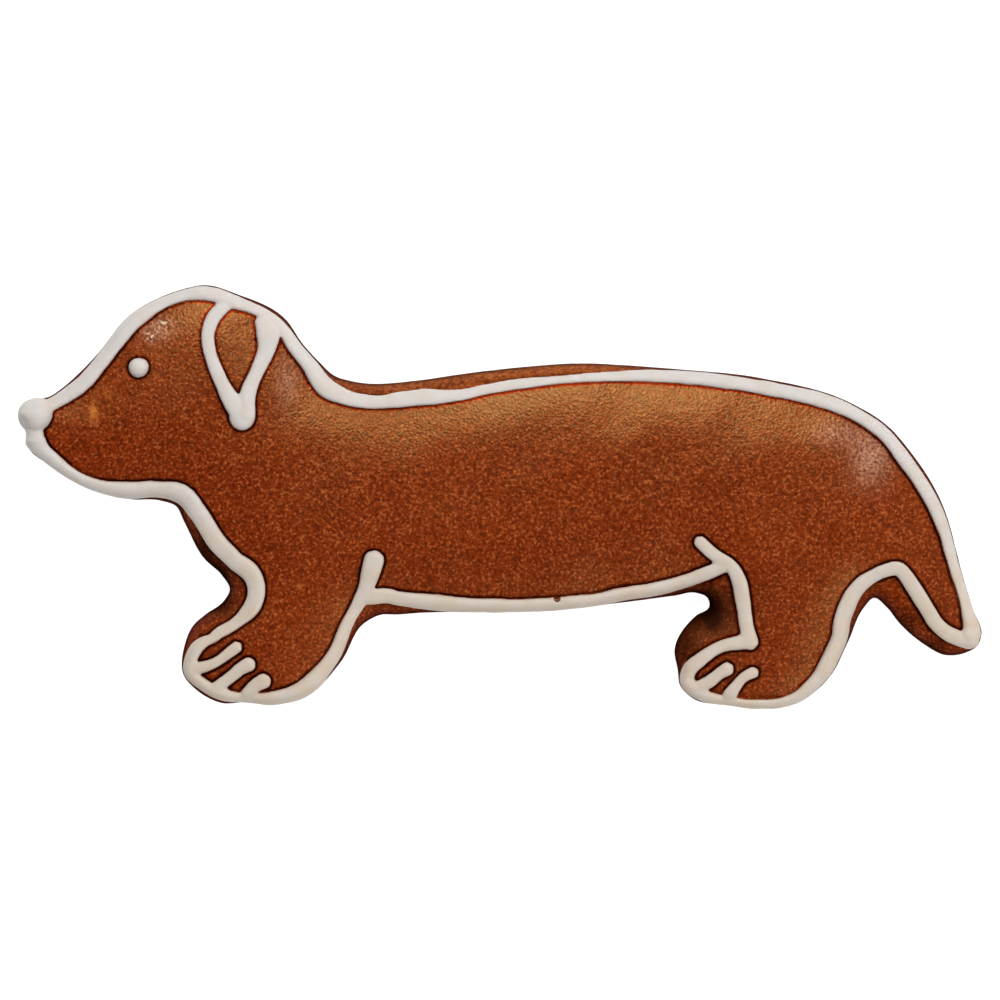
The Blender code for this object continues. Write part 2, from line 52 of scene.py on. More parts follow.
# The edge of the cookie in millimetres, clockwise from the nose:
# X, Y, how far inside the edge the icing runs, and how wide the icing is there.
edge = dict(
    muzzle=(
        (-64.8, 10.95, 1.8, 2.3), (-62.5, 13.05, 1.6, 2.4), (-60.95, 13.5, 1.15, 2.15),
        (-59.55, 14.4, 1.15, 2.35), (-58.05, 15.65, 1.35, 2.4),
    ),
    head=(
        (-53.85, 20.05, 1.1, 2.4), (-50.95, 23.75, 1.1, 2.6), (-43.75, 27.75, 0.9, 2.05),
        (-39.8, 28.55, 1.05, 2.4), (-35.75, 27.4, 1.1, 2.3), (-29.0, 23.9, 1.0, 1.7),
    ),
    nape=(
        (-26.85, 20.8, 1.05, 2.35), (-24.55, 18.25, 1.25, 2.55), (-22.4, 16.3, 1.95, 2.75),
        (-19.95, 15.55, 2.4, 2.1),
    ),
    back=(
        (-10.8, 15.7, 2.4, 2.3), (-6.1, 16.4, 2.8, 1.65), (0.0, 17.15, 2.4, 1.55),
        (10.1, 17.95, 2.1, 1.25), (23.0, 17.25, 1.05, 2.1), (35.1, 16.0, 1.25, 2.25),
        (47.35, 12.7, 1.1, 2.3), (52.2, 9.75, 1.2, 2.15),
    ),
    tail=(
        (56.25, 5.1, 1.4, 2.2), (59.35, 0.15, 1.25, 2.25), (62.65, -10.65, 0.9, 1.9),
        (64.1, -15.4, 0.95, 2.05), (65.2, -18.75, 1.55, 2.9),
    ),
    underTail=(
        (64.6, -20.3, 1.6, 2.7), (63.1, -21.2, 1.65, 2.5), (60.5, -21.55, 2.45, 2.0),
        (57.15, -19.9, 3.3, 2.05), (53.95, -17.1, 4.7, 2.1), (52.4, -15.1, 4.4, 2.1),
        (50.6, -13.8, 3.45, 1.85), (49.3, -15.1, 1.8, 2.5),
    ),
    hindLeg=(
        (47.15, -19.75, 1.35, 2.55), (44.75, -24.35, 1.2, 2.6), (41.15, -27.6, 0.85, 2.2),
        (30.35, -28.25, 0.55, 1.9), (26.45, -27.6, 0.95, 2.3), (24.35, -25.6, 0.95, 2.35),
    ),
    insideHindLeg=(
        (24.05, -23.5, 1.0, 2.0), (23.6, -21.1, 1.0, 2.0), (26.5, -16.2, 1.0, 2.0),
        (28.35, -14.95, 1.0, 2.0), (28.15, -13.85, 1.0, 2.0), (26.55, -13.1, 1.0, 2.0),
        (23.65, -13.5, 1.0, 2.0),
    ),
    belly=(
        (13.55, -14.8, 0.8, 2.3), (7.5, -15.5, 0.85, 2.25), (0.0, -15.75, 0.85, 2.35),
        (-11.5, -15.85, 1.7, 2.25), (-13.9, -16.05, 2.27, 1.95), (-16.2, -16.1, 2.6, 2.25),
    ),
    insideFrontLeg=((-18.4, -17.25, 1.8, 2.0),),
    frontLeg=(
        (-21.5, -22.4, 1.25, 2.35), (-26.55, -27.3, 0.95, 2.8), (-30.35, -28.15, 0.75, 2.45),
        (-34.4, -27.9, 0.6, 1.85), (-37.6, -28.05, 1.2, 2.1), (-40.8, -26.5, 1.2, 2.0),
        (-42.9, -24.15, 1.0, 2.15), (-42.75, -20.35, 1.65, 1.95), (-41.4, -17.35, 3.1, 1.4),
        (-39.85, -16.0, 3.2, 1.6), (-37.45, -14.25, 3.4, 1.8), (-36.6, -12.7, 3.75, 2.5),
        (-37.7, -10.7, 2.8, 2.5), (-40.0, -8.55, 2.85, 2.5),
    ),
    throat=(
        (-42.85, -3.3, 2.3, 2.75), (-43.85, -1.4, 1.8, 3.05), (-45.95, -0.65, 1.45, 2.6),
    ),
    chin=(
        (-50.0, -0.45, 1.05, 2.9), (-54.05, 0.35, 0.8, 2.3), (-61.5, 4.45, 1.0, 2.5),
        (-63.65, 6.2, 1.4, 2.95), (-64.15, 7.2, 1.4, 3.0), (-64.15, 8.35, 1.25, 2.7),
    ),
)


def curveThrough(points, closed):
    # each span is a cubic Hermite blend; a point's tangent is the mean slope of its two chords
    ahead = np.roll(points, -1, axis=0)
    length = np.maximum(np.linalg.norm((ahead - points)[:, :2], axis=1), tiny)[:, None]
    slope = (ahead - points) / length
    behindLength, behindSlope = np.roll(length, 1, axis=0), np.roll(slope, 1, axis=0)
    tangent = (behindSlope * length + slope * behindLength) / (length + behindLength)
    if not closed:
        tangent[0], tangent[-1] = slope[0], slope[-2]
    t = (np.arange(spanSamples) / spanSamples)[None, :, None]
    curve = (
        (2 * t**3 - 3 * t**2 + 1) * points[:, None]
        + (t**3 - 2 * t**2 + t) * length[:, None] * tangent[:, None]
        + (3 * t**2 - 2 * t**3) * ahead[:, None]
        + (t**3 - t**2) * length[:, None] * np.roll(tangent, -1, axis=0)[:, None]
    )
    if closed:
        return curve.reshape(-1, points.shape[1])
    return np.concatenate([curve[:-1].reshape(-1, points.shape[1]), points[-1:]])


def travelled(curve):
    # length of the curve from its start to each sample
    steps = np.linalg.norm(np.diff(curve[:, :2], axis=0), axis=1)
    return np.concatenate([[0.0], np.cumsum(steps)])


def spaced(curve, step, closed):
    # the same curve, sampled at even arc length
    if closed:
        curve = np.concatenate([curve, curve[:1]])
    travel = travelled(curve)
    stops = np.linspace(0.0, travel[-1], max(3, round(travel[-1] / step)) + 1)
    even = np.stack([np.interp(stops, travel, column) for column in curve.T], axis=1)
    return even[:-1] if closed else even


def inward(curve):
    # unit normals of a clockwise loop, a quarter turn right of the way that it runs
    along = np.roll(curve, -1, axis=0)[:, :2] - np.roll(curve, 1, axis=0)[:, :2]
    along /= np.linalg.norm(along, axis=1)[:, None]
    return np.stack([along[:, 1], -along[:, 0]], axis=1)


def sampleOf(stretch, last=False):
    # place of a stretch's first or last point among the samples of the edge
    names = list(edge)
    start = spanSamples * sum(len(edge[name]) for name in names[: names.index(stretch)])
    return start + (spanSamples * (len(edge[stretch]) - 1) if last else 0)


edgePoints = np.array([point for stretch in edge.values() for point in stretch])
fineEdge = curveThrough(edgePoints, closed=True)
fineNormal = inward(fineEdge)
low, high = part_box("biscuit")
middleOfEdge = (fineEdge[:, :2].min(axis=0) + fineEdge[:, :2].max(axis=0)) / 2
middleOfBiscuit = np.array([low.x + high.x, low.y + high.y]) / 2 / mm
shiftToFrame = middleOfBiscuit - middleOfEdge  # from the table of the edge to the CAD frame

baked = dict(  # millimetres
    sideHeight=2.2,  # the widest line of the side
    shoulderRise=2.4,
    shoulderRun=2.0,
    narrowShare=0.75,  # of the half width, where the cookie is narrow
    easeRounds=3,  # the shoulder's run is eased along the edge
    puffRise=2.1,
    puffRun=13.0,
    waves=0.03,
    wavePattern=((0.43, 0.21, 0.6, 1.0), (-0.27, 0.58, 2.1, 1.0), (0.71, -0.35, 4.0, 0.7)),
    waveFade=5,  # the waves are whole beyond the first fifth of the puff's run
    footInset=0.8,
    footShare=0.6,  # of the shoulder's run, at most
    edgeStep=0.4,
    nudge=1e-4,  # the run is looked up so far inside the edge
    topStep=0.27,
    fineStep=0.16,  # beside the icing
    ringMargin=0.4,  # of a step, kept free beside the shoulder
    floorStep=3.0,
    floorMargin=1.6,
    footTurns=7,
    shoulderTurns=9,
    swell=0.03,  # soft unevenness of the crust
    swellSizes=(5.5, 2.6),
    swellFine=0.5,  # strength of the finer swell over the coarser
    grain=0.010,  # fine crumb
    grainSizes=(0.75, 0.42),
    grainFine=0.7,
    pit=0.045,
    pitSize=0.95,
    pitFrom=0.55,  # the noise dents the crust where it passes this
    pitPower=1.5,
    reliefFrom=1.2,  # the relief fades out below this height
    rimReach=0.55,  # the crust is painted darker this far in from the edge, a painted shade over its steep side
    seeds=(11, 12, 13, 14, 15),
)


def randomLattice(seed, size=64):
    # random values from 0 to 1 in a cube of cells
    return np.random.default_rng(seed).random((size, size, size)).astype(np.float32)


def smoothNoise(points, scale, lattice):
    # value noise from -1 to 1: random lattice values blended with 3t^2 - 2t^3 along each axis
    place = points / scale
    cell = np.floor(place).astype(int)
    t = place - cell
    t = t * t * (3 - 2 * t)
    size = lattice.shape[0]
    total = np.zeros(len(points))
    for corner in np.ndindex(2, 2, 2):
        weight = np.prod(np.where(np.array(corner), t, 1 - t), axis=1)
        x, y, z = ((cell + np.array(corner)) % size).T
        total += weight * lattice[x, y, z]
    return 2 * total - 1


def chunked(function, places):
    # the function's results for all places, worked out in portions
    starts = range(0, len(places), placesAtOnce)
    return np.concatenate([function(places[k : k + placesAtOnce]) for k in starts])


def shoulderRunAlong(curve, normal):
    # radius of the largest circle inside the edge at each sample, d^2 / 2h, caps the shoulder's run
    def widest(rows):
        toOthers = curve[None, :, :2] - curve[rows][:, None, :2]
        depth = (toOthers * normal[rows][:, None, :]).sum(axis=2)
        distance2 = (toOthers**2).sum(axis=2)
        radius = np.where(depth > tiny, distance2 / (2 * np.maximum(depth, tiny)), np.inf)
        return radius.min(axis=1)

    radius = chunked(widest, np.arange(len(curve)))
    run = np.minimum(baked["shoulderRun"], baked["narrowShare"] * radius)
    for _ in range(baked["easeRounds"]):
        run = np.minimum(run, (np.roll(run, 1) + run + np.roll(run, -1)) / 3)
    return run


fineRun = shoulderRunAlong(fineEdge, fineNormal)
sampleLength = np.linalg.norm((np.roll(fineEdge, -1, axis=0) - fineEdge)[:, :2], axis=1)


def measured(places):
    # per place: signed distance inside the edge, the nearest sample, and the soft depth, which is
    # (sum of sample length / distance^4 / (pi / 2)) to the power -1/3 and has no crease in the middle
    def part(some):
        offset = some[:, None, :] - fineEdge[None, :, :2]
        distance2 = (offset**2).sum(axis=2)
        nearest = distance2.argmin(axis=1)
        toPlace = some - fineEdge[nearest, :2]
        side = np.where((toPlace * fineNormal[nearest]).sum(axis=1) < 0, -1.0, 1.0)
        closeness = (sampleLength / np.maximum(distance2, tiny) ** 2).sum(axis=1)
        soft = (closeness / (np.pi / 2)) ** (-1 / 3)
        return np.column_stack([side * np.linalg.norm(toPlace, axis=1), nearest, soft])

    found = chunked(part, places)
    return found[:, 0], found[:, 1].astype(int), found[:, 2]


def puff(places, soft):
    # the dough's rise, 1 - (1 - s)^2 of the soft depth s, with three slow crossing waves
    share = np.minimum(soft / baked["puffRun"], 1.0)
    x, y = places[:, 0], places[:, 1]
    waves = sum(part * np.sin(u * x + v * y + phase) for u, v, phase, part in baked["wavePattern"])
    fade = np.minimum(share * baked["waveFade"], 1.0)
    return baked["puffRise"] * (1 - (1 - share) ** 2) + baked["waves"] * waves * fade


def topHeight(places):
    # the shoulder is a quarter ellipse over its run, and the puff stands on it
    inside, nearest, soft = measured(places)
    across = np.clip(1 - inside / fineRun[nearest], 0.0, 1.0)
    return baked["sideHeight"] + baked["shoulderRise"] * np.sqrt(1 - across**2) + puff(places, soft)


def clearance(points):
    # distance off the crust: level of the shoulder's ellipse, less one, over its steepness
    inside, nearest, soft = measured(points[:, :2])
    run = fineRun[nearest]
    rise = points[:, 2] - baked["sideHeight"] - np.where(inside > 0, puff(points[:, :2], soft), 0.0)
    across = np.maximum((run - inside) / run, 0.0)
    level = np.sqrt(across**2 + (rise / baked["shoulderRise"]) ** 2) + tinier
    steepness = np.sqrt((across / run) ** 2 + (rise / baked["shoulderRise"] ** 2) ** 2) / level
    return (level - 1) / steepness


def latticeInside(step, margin):
    # a triangular lattice cut back to the places that lie deeper than the margin
    lowest, highest = fineEdge[:, :2].min(axis=0), fineEdge[:, :2].max(axis=0)
    columns = np.arange(lowest[0], highest[0], step)
    x, y = np.meshgrid(columns, np.arange(lowest[1], highest[1], step * rowShare))
    x[1::2] += step / 2
    places = np.column_stack([x.ravel(), y.ravel()])
    return places[measured(places)[0] > margin]


def filled(loop, extra):
    # triangles over a closed loop and the extra places inside it, as indices into both
    count = len(loop)
    border = np.column_stack([np.arange(count), (np.arange(count) + 1) % count]).tolist()
    places = np.concatenate([loop, extra]).tolist()
    _, _, faces, origin, _, _ = delaunay_2d_cdt(places, border, [], 1, tiny)
    first = np.array([given[0] for given in origin])
    return first[np.array(faces)]


def stripFaces(rows, around, offset=0):
    # quads of a grid that closes around; rows run up the side
    i, k = np.meshgrid(np.arange(around), np.arange(rows - 1))
    j = (i + 1) % around
    quads = np.stack([k * around + i, (k + 1) * around + i, (k + 1) * around + j, k * around + j], axis=-1)
    return quads.reshape(-1, 4) + offset


def newPiece(name, points, quads, triangles, marks):
    # a smooth mesh object in the CAD frame, with one float attribute for each mark
    mesh = bpy.data.meshes.new(name)
    placed = (points + np.append(shiftToFrame, 0.0)) * mm
    corners = np.concatenate([np.asarray(quads).ravel(), np.asarray(triangles).ravel()]).astype(np.int32)
    counts = np.concatenate([np.full(len(quads), 4), np.full(len(triangles), 3)]).astype(np.int32)
    mesh.vertices.add(len(placed))
    mesh.vertices.foreach_set("co", placed.ravel())
    mesh.loops.add(len(corners))
    mesh.loops.foreach_set("vertex_index", corners)
    mesh.polygons.add(len(counts))
    starts = np.concatenate([[0], np.cumsum(counts)[:-1]]).astype(np.int32)
    mesh.polygons.foreach_set("loop_start", starts)
    mesh.polygons.foreach_set("loop_total", counts)
    mesh.update(calc_edges=True)
    mesh.validate()
    for mark, values in marks.items():
        attribute = mesh.attributes.new(mark, "FLOAT", "POINT")
        attribute.data.foreach_set("value", values.astype(np.float32))
    piece = bpy.data.objects.new(name, mesh)
    bpy.context.scene.collection.objects.link(piece)
    mesh.shade_smooth()
    return piece


def trianglesOf(piece):
    # a face with n corners makes n - 2 triangles
    return len(piece.data.loops) - 2 * len(piece.data.polygons)


def halves(quads):
    # each quad as two triangles
    return np.concatenate([quads[:, [0, 1, 2]], quads[:, [0, 2, 3]]])


def vertexNormals(points, triangles):
    # each triangle's cross product, summed on its corners
    a, b, c = (points[triangles[:, k]] for k in range(3))
    face = np.cross(b - a, c - a)
    total = np.zeros_like(points)
    for k in range(3):
        np.add.at(total, triangles[:, k], face)
    return total / np.maximum(np.linalg.norm(total, axis=1)[:, None], tinier)


def crustRelief(points):
    # soft swellings, fine crumb, and pits where a coarse noise passes a threshold
    sizes = (*baked["swellSizes"], *baked["grainSizes"], baked["pitSize"])
    coarseSwell, fineSwell, coarseGrain, fineGrain, dents = (
        smoothNoise(points, size, randomLattice(seed)) for size, seed in zip(sizes, baked["seeds"])
    )
    swell = coarseSwell + baked["swellFine"] * fineSwell
    grain = coarseGrain + baked["grainFine"] * fineGrain
    pits = np.clip(dents - baked["pitFrom"], 0, 1) / (1 - baked["pitFrom"])
    return baked["swell"] * swell + baked["grain"] * grain - baked["pit"] * pits ** baked["pitPower"]


def makeBiscuit():
    # side strip from the floor over the shoulder, then a lattice over the top and one on the floor
    ring = spaced(fineEdge, baked["edgeStep"], closed=True)
    normal = inward(ring)
    run = fineRun[measured(ring[:, :2] + baked["nudge"] * normal)[1]]
    foot = np.minimum(baked["footInset"], run * baked["footShare"])
    rows = []
    for turn in np.linspace(0, np.pi / 2, baked["footTurns"]):
        place = ring[:, :2] + (foot * (1 - np.sin(turn)))[:, None] * normal
        height = np.full(len(place), baked["sideHeight"] * (1 - np.cos(turn)))
        rows.append(np.column_stack([place, height]))
    for turn in np.linspace(0, np.pi / 2, baked["shoulderTurns"])[1:]:
        place = ring[:, :2] + (run * (1 - np.cos(turn)))[:, None] * normal
        height = baked["sideHeight"] + baked["shoulderRise"] * np.sin(turn)
        rows.append(np.column_stack([place, height + puff(place, measured(place)[2])]))
    around = len(ring)
    quads = stripFaces(len(rows), around)
    margin = baked["shoulderRun"] + baked["ringMargin"] * baked["topStep"]
    topPlaces = latticeInside(baked["topStep"], margin)
    finePlaces = latticeInside(baked["fineStep"], margin)
    near, nearFine = nearness(topPlaces), nearness(finePlaces)
    topPlaces = np.concatenate([topPlaces[near <= 0], finePlaces[(nearFine > 0) & (nearFine < 1)]])
    floorPlaces = latticeInside(baked["floorStep"], baked["floorMargin"])
    topRing = (len(rows) - 1) * around + np.arange(around)
    sideCount = len(rows) * around
    toTop = np.concatenate([topRing, sideCount + np.arange(len(topPlaces))])
    floorStart = sideCount + len(topPlaces)
    toFloor = np.concatenate([np.arange(around), floorStart + np.arange(len(floorPlaces))])
    topFaces = toTop[filled(rows[-1][:, :2], topPlaces)]
    floorFaces = toFloor[filled(rows[0][:, :2], floorPlaces)][:, ::-1]
    top = np.column_stack([topPlaces, topHeight(topPlaces)])
    floor = np.column_stack([floorPlaces, np.zeros(len(floorPlaces))])
    points = np.concatenate([*rows, top, floor])
    normals = vertexNormals(points, np.concatenate([halves(quads), topFaces, floorFaces]))
    if normals[topRing, 2].mean() < 0:
        quads, topFaces, floorFaces = quads[:, ::-1], topFaces[:, ::-1], floorFaces[:, ::-1]
        normals = -normals
    offFloor = np.clip(points[:, 2] / baked["reliefFrom"], 0, 1)
    points = points + normals * (crustRelief(points) * offFloor)[:, None]
    points[:, 2] = np.maximum(points[:, 2], 0.0)
    marks = {mark: spotted(points, spots) for mark, spots in crustSpots.items()}
    # painted shadow: a dark line on the crust beside the icing
    marks["paintedShadowBesideIcing"] = paintedShadowBesideIcing(points)
    # painted shade: the crust darker towards the edge, over its steep side
    marks["rim"] = np.clip(1 - measured(points[:, :2])[0] / baked["rimReach"], 0.0, 1.0)
    return newPiece("gingerbread", points, quads, np.concatenate([topFaces, floorFaces]), marks)


# Spots on the crust: X, Y, reach in X, reach in Y, strength.
crustSpots = dict(
    # tan spots: the first three are lighter patches of crust; the three long ones over the back are
    # painted light, the strip of crust above the icing there lightened as it faces the key lamp
    tanAndPaintedLight=(
        (-54.8, 11.2, 0.55, 1.2, 1.5), (-27.0, -12.2, 0.45, 0.35, 0.8), (-52.9, 13.6, 0.7, 0.7, 0.4),
        (-14.0, 15.4, 7.0, 1.2, 0.7), (-2.0, 16.8, 7.0, 1.2, 0.7), (11.0, 17.8, 9.0, 1.2, 0.7),
    ),
    # painted shade: the crust darkened in the strip by the front leg and neck, inside the hind leg and
    # under the tail, where its steep sides lie in shade
    paintedShade=(
        (-39.5, -6.5, 1.6, 2.6, 0.8), (-37.9, -11.0, 1.6, 2.4, 0.9), (-38.2, -14.6, 2.2, 1.4, 0.8),
        (28.5, -16.4, 1.2, 1.8, 0.5), (28.9, -15.8, 4.4, 4.2, 0.85), (25.4, -20.6, 1.9, 2.0, 0.6),
        (26.5, -13.8, 2.2, 0.9, 0.4), (55.5, -16.6, 1.4, 1.4, 0.4), (59.0, -20.2, 1.6, 1.0, 0.4),
    ),
    # glaze spots: real gloss, as they make the crust smoother, and a painted sheen, as they lighten its
    # colour; the two with negative strength only make it rougher
    glazeAndPaintedSheen=(
        (-46.3, 22.5, 2.2, 1.4, 0.65), (-28.6, 15.5, 1.6, 3.0, 0.45), (50.0, 5.4, 2.5, 3.4, 0.8),
        (45.5, 8.5, 3.0, 1.6, 0.5), (-17.0, 12.4, 6.0, 2.6, -1.0), (-35.5, 19.0, 2.0, 4.0, -0.5),
    ),
    # painted glints: tiny whitish highlights on the head, painted into the crust's colour
    paintedGlint=((-47.1, 21.5, 0.6, 0.5, 1.0), (-45.3, 23.4, 0.7, 0.4, 0.9), (-46.3, 22.4, 0.4, 0.4, 0.6)),
)


def spotted(points, spots):
    # sum of bells, exp(-(x / reach)^2 - (y / reach)^2), on the upper side only
    total = np.zeros(len(points))
    for x, y, reachX, reachY, strength in spots:
        aside, upward = (points[:, 0] - x) / reachX, (points[:, 1] - y) / reachY
        total += strength * np.exp(-(aside**2) - upward**2)
    return np.where(points[:, 2] > baked["sideHeight"], np.minimum(total, 1.0), 0.0)


piped = dict(  # millimetres; centre lines below are X, Y, width
    heightShare=0.40,  # of the line's width
    sunk=0.14,
    leanShare=0.6,
    leanReach=0.3,  # the crust's slope is measured this far to either side
    pullIn=0.15,  # of its height, against the lean
    mostDrape=0.9,
    beddingRounds=8,
    beddingShare=0.8,  # of what is left, in each round
    step=0.45,
    runOn=0.5,  # of its width, past its last point
    crownPoints=14,
    leastCrown=0.06,
    crownPower=0.48,
    footAcross=(0.6, 0.2, -0.2, -0.6),  # places on the flat foot, in half widths
    endHeight=0.35,  # of its height, left at the very end
    taperShare=0.4,  # of its width, over which an end rounds off
    leastTaper=0.03,
    voxel=0.19,
    smoothRounds=4,
    shrink=0.55,
    swellBack=-0.5,
    wobble=0.05,
    widthWobble=0.08,
    wobbleSizes=(3.1, 2.7, 2.2),
    wobbleApart=40.0,  # so that the three wobbles differ
    wobbleCells=24,
    firstSeed=30,
    swell=0.035,
    swellSizes=(1.7, 0.8),
    swellFine=0.4,
    swellSeeds=(21, 22),
    footReach=0.32,  # the icing's foot is painted dark brown this far up, a painted contact shadow
    rimFree=0.9,  # but not so near the cookie's edge
    rimFade=0.6,
)
knee = (
    (25.6, -23.4, 2.0), (27.0, -22.1, 1.9), (29.9, -20.3, 1.6), (31.9, -19.8, 1.9),
    (33.6, -19.5, 2.3),
)
thigh = (
    (33.7, -19.6, 2.3), (33.3, -17.9, 2.0), (32.7, -14.0, 2.0), (32.3, -11.6, 2.0),
    (31.5, -9.9, 1.9), (29.2, -8.2, 1.8), (27.0, -6.2, 1.7),
)
flank = ((29.9, -9.6, 1.8), (27.0, -10.8, 1.9), (21.6, -12.5, 2.1), (16.6, -13.3, 2.3))
breast = (
    (-17.0, -8.7, 2.7), (-17.5, -10.4, 2.6), (-18.0, -12.2, 2.2), (-18.9, -14.2, 1.9),
    (-20.3, -16.7, 1.8),
)
armpit = ((-18.3, -13.7, 1.9),)
earFront = (
    (-36.6, 26.2, 1.9), (-37.5, 25.4, 2.0), (-38.7, 24.0, 2.0), (-39.4, 21.7, 1.8),
    (-39.2, 19.7, 1.8), (-37.6, 15.5, 1.9), (-35.9, 12.4, 2.5), (-35.0, 10.9, 2.5),
)
earBack = (
    (-31.8, 23.3, 2.6), (-31.3, 21.8, 3.2), (-31.4, 20.2, 2.6), (-32.7, 16.9, 2.0),
    (-33.9, 14.0, 2.1), (-34.3, 11.0, 2.7),
)
tailTurn = (
    (63.35, -19.6, 2.55), (61.9, -19.2, 2.1), (60.4, -18.5, 2.0), (58.7, -17.0, 2.0), (57.7, -15.4, 2.0),
    (56.7, -13.8, 2.0), (55.8, -12.3, 2.0), (54.7, -10.8, 2.0), (53.7, -9.85, 2.1), (52.1, -10.0, 1.9),
    (50.4, -10.8, 1.85), (48.8, -11.9, 2.2), (47.7, -13.15, 2.3), (46.95, -14.7, 2.4), (46.25, -16.8, 2.5),
)
toes = (
    ((-41.6, -23.5, 1.6), (-38.4, -22.5, 1.5), (-36.4, -21.1, 1.5), (-35.5, -20.4, 1.6)),
    ((-38.4, -26.0, 1.8), (-36.2, -24.3, 1.7), (-34.7, -23.1, 1.8), (-33.9, -22.7, 1.9)),
    ((-34.2, -26.8, 1.9), (-32.9, -25.5, 1.9), (-32.0, -25.0, 2.2)),
    ((26.5, -26.0, 1.8), (28.3, -25.0, 1.8), (29.6, -24.0, 1.7), (30.6, -23.4, 1.9)),
    ((31.0, -26.8, 2.0), (31.9, -25.6, 1.6), (32.9, -24.4, 1.5), (34.1, -23.8, 1.6)),
)
drops = dict(  # X, Y, radius, height
    nose=(-62.85, 11.0, 2.5, 2.3),
    ear=(-34.75, 10.55, 1.75, 1.05),
    eye=(-48.7, 17.3, 1.36, 1.5),
)
dropShape = dict(
    rings=14,
    around=40,
    footReach=(0.5, 0.9),  # of the radius
    reachPower=0.8,
    leastCrown=0.08,
    lobes=((2, 0.7, 0.03), (3, 0.0, 0.02)),  # count, turn, share of the radius
)
bubbles = ((7.7, -13.9, 0.55, 0.5),)  # X, Y, radius, depth


def alongEdge(first, last):
    # centre line inside the edge: the edge point moved along its inward normal
    chosen = slice(first, last + 1)
    middle = fineEdge[chosen, :2] + fineEdge[chosen, 2:3] * fineNormal[chosen]
    return np.column_stack([middle, fineEdge[chosen, 3]])[:: spanSamples // pathSamples]


def leanOf(points):
    # from upright towards the crust's normal, which is the gradient of the clearance
    steps = piped["leanReach"] * np.eye(3)
    slope = np.stack([clearance(points + step) - clearance(points - step) for step in steps], axis=1)
    slope /= np.linalg.norm(slope, axis=1)[:, None]
    slope[:, :2] *= piped["leanShare"]
    return slope / np.linalg.norm(slope, axis=1)[:, None]


def bedded(base, direction):
    # steps along the direction until the point is sunk as deep as it should be
    shift = np.zeros(len(base))
    for _ in range(piped["beddingRounds"]):
        left = -piped["sunk"] - clearance(base + shift[:, None] * direction)
        shift += piped["beddingShare"] * left
        shift = np.maximum(shift, -piped["mostDrape"])
    return shift


def centreLine(points, seed):
    # even samples of the smooth path, run on by half a width at both ends, with a slow wobble
    line = curveThrough(np.array(points, float), closed=False)
    ends = []
    for end, before in ((line[0], line[3]), (line[-1], line[-4])):
        away = (end - before)[:2] / np.linalg.norm((end - before)[:2])
        ends.append(np.append(end[:2] + away * piped["runOn"] * end[2], end[2])[None])
    line = spaced(np.concatenate([ends[0], line, ends[1]]), piped["step"], closed=False)
    lattice = randomLattice(seed, piped["wobbleCells"])
    places = np.column_stack([line[:, :2], np.zeros(len(line))])
    wobbles = [
        smoothNoise(places + k * piped["wobbleApart"], size, lattice)
        for k, size in enumerate(piped["wobbleSizes"])
    ]
    line[:, 0] += piped["wobble"] * wobbles[0]
    line[:, 1] += piped["wobble"] * wobbles[1]
    line[:, 2] *= 1 + piped["widthWobble"] * wobbles[2]
    return line


def endTaper(line):
    # sqrt(1 - (1 - s)^2): almost nothing at both ends, and 1 from the end of the taper's share on
    travel = travelled(line)
    fromEnd = np.minimum(travel, travel[-1] - travel)
    share = np.clip(fromEnd / (piped["taperShare"] * line[:, 2]), piped["leastTaper"], 1)
    return np.sqrt(1 - (1 - share) ** 2)


def bead(line):
    # section: across = -a cos(t), crown = h (c + (1 - c) sin(t)^p), closed below by a flat foot
    taper = endTaper(line)
    height = piped["heightShare"] * line[:, 2] * (piped["endHeight"] + (1 - piped["endHeight"]) * taper)
    half = line[:, 2] / 2 * taper
    along = np.gradient(line[:, :2], axis=0)
    along /= np.linalg.norm(along, axis=1)[:, None]
    along = np.column_stack([along, np.zeros(len(along))])
    up = leanOf(np.column_stack([line[:, :2], topHeight(line[:, :2])]))
    middle = line[:, :2] - piped["pullIn"] * height[:, None] * up[:, :2]
    middle = np.column_stack([middle, topHeight(middle)])
    side = np.cross(up, along)
    side /= np.linalg.norm(side, axis=1)[:, None]
    turn = np.linspace(0, np.pi, piped["crownPoints"])
    across = np.concatenate([-np.cos(turn), piped["footAcross"]])
    arch = piped["leastCrown"] + (1 - piped["leastCrown"]) * np.sin(turn) ** piped["crownPower"]
    crown = np.concatenate([arch, np.zeros(len(piped["footAcross"]))])
    rows = []
    for k in range(len(across)):
        base = middle + (across[k] * half)[:, None] * side
        rows.append(base + (bedded(base, up) + crown[k] * height)[:, None] * up)
    points = np.stack(rows, axis=1)
    around = len(across)
    quads = stripFaces(len(line), around)
    fan = np.column_stack([np.zeros(around - 2, int), np.arange(1, around - 1), np.arange(2, around)])
    caps = np.concatenate([fan, (len(line) - 1) * around + fan[:, [0, 2, 1]]])
    return outward(points.reshape(-1, 3), np.concatenate([halves(quads), caps]))


def outward(points, triangles):
    # turns the whole shell if its signed volume, the sum of a . (b x c), is negative
    a, b, c = (points[triangles[:, k]] for k in range(3))
    if (a * np.cross(b, c)).sum() < 0:
        triangles = triangles[:, ::-1]
    return points, triangles


